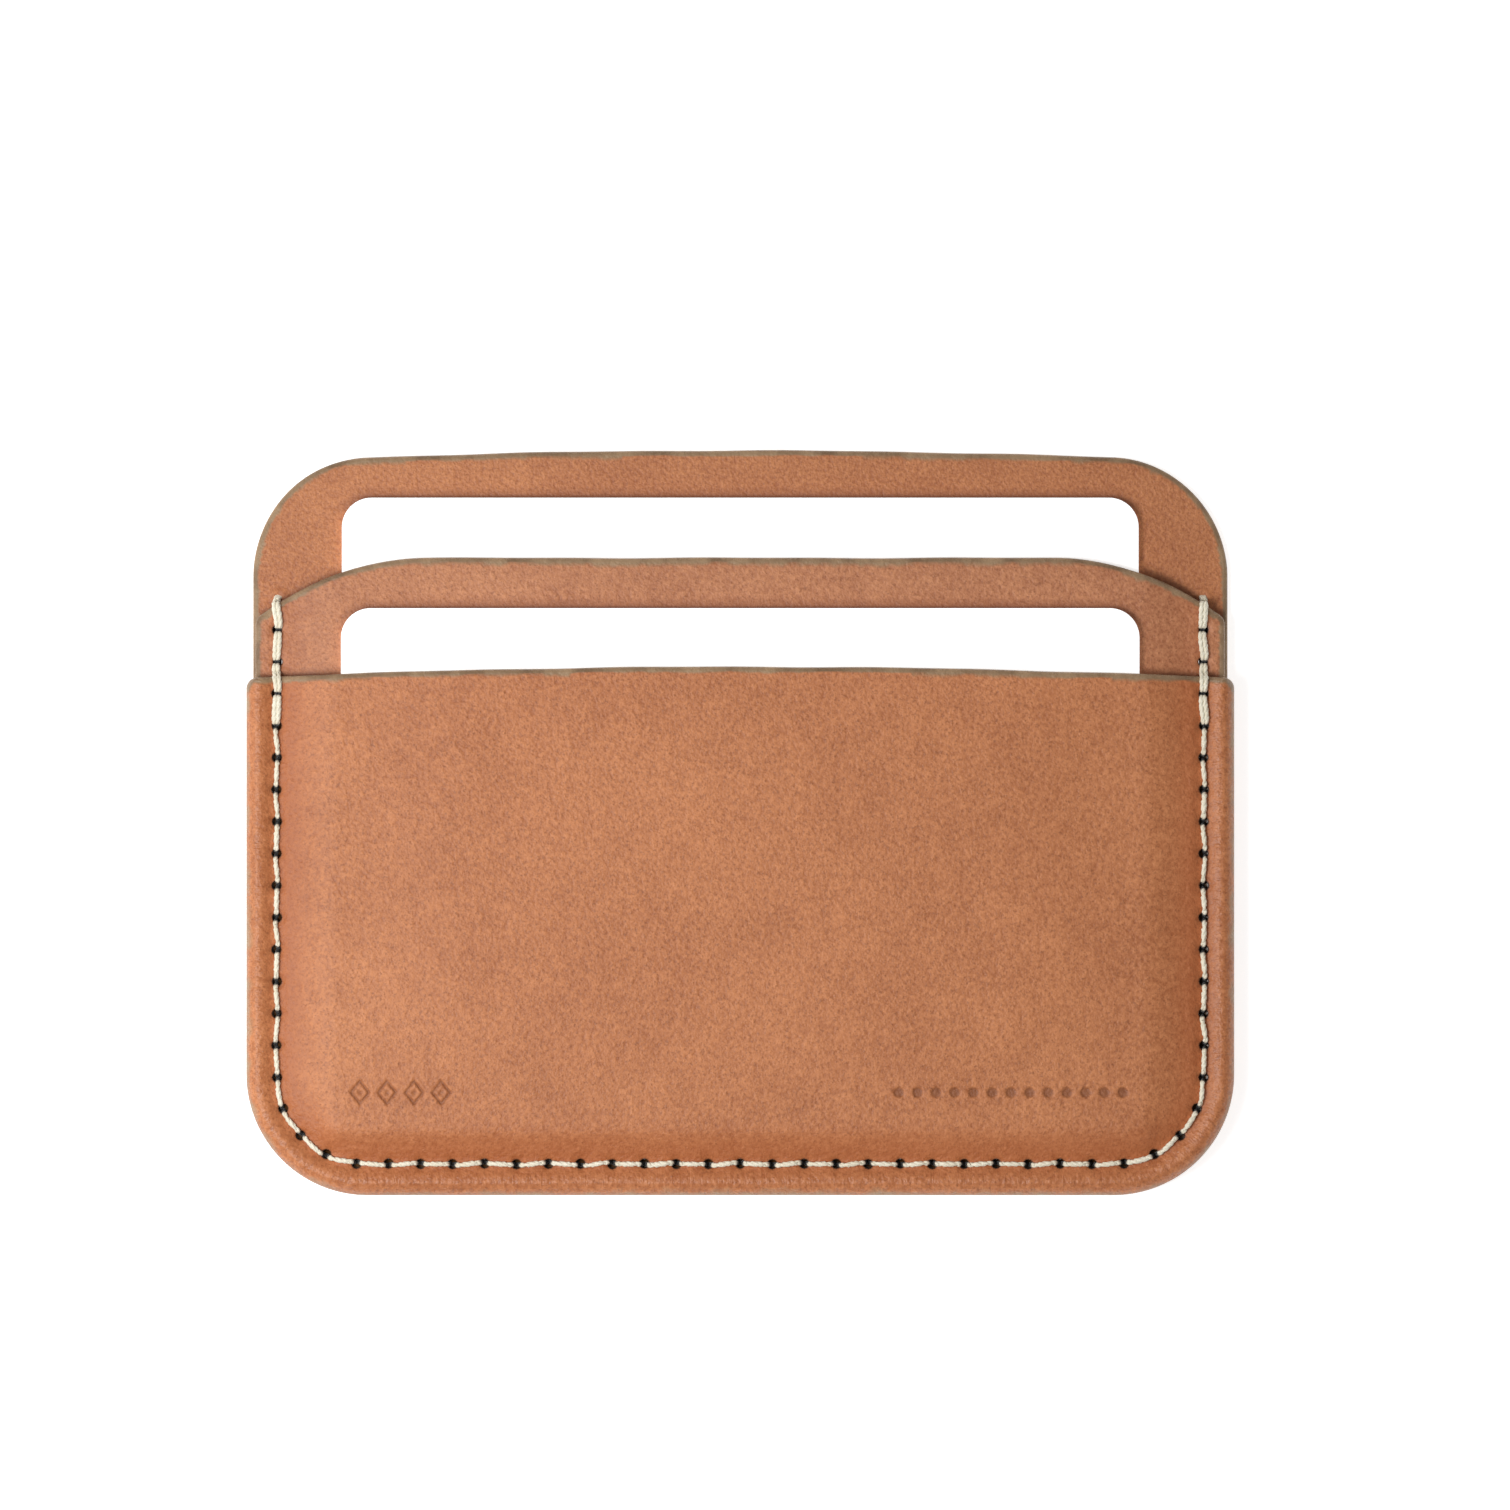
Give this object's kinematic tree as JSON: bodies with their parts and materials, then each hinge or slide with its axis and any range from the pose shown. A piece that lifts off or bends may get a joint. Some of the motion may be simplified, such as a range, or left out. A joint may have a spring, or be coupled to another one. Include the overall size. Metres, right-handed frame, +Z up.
{
  "type": "card holder",
  "caption": "Flat stitched leather card holder with two stepped pockets, each with a blank card that slides out.",
  "frame": {"origin": "on the surface that the back panel lies on, under the middle of the outline's box", "axes": "+Z up out of the front panel, +Y from the closed bottom edge to the pocket mouths, +X across the width"},
  "size_m": [0.106, 0.08, 0.0057],
  "materials": {
    "back_leather": "natural tan leather, fine grain, satin",
    "middle_leather": "natural tan leather, fine grain, satin",
    "front_leather": "natural tan leather, fine grain, satin, burnished edges",
    "cement": "dried contact cement, translucent amber",
    "thread": "waxed cream thread, twisted",
    "card_plastic": "smooth white plastic card"
  },
  "bodies": {
    "holder": {"back_panel": "back_leather", "middle_panel": "middle_leather", "front_panel": "front_leather", "rear_cement": "cement", "front_cement": "cement", "front_thread": "thread", "rear_thread": "thread"},
    "rear_card": {"rear_card": "card_plastic"},
    "front_card": {"front_card": "card_plastic"}
  },
  "joints": [
    {"name": "rear_card_slide", "type": "slide", "parent": "holder", "child": "rear_card", "axis": [0, 1, 0], "range_m": [-0.0132, 0.062]},
    {"name": "front_card_slide", "type": "slide", "parent": "holder", "child": "front_card", "axis": [0, 1, 0], "range_m": [-0.0013, 0.073]}
  ]
}
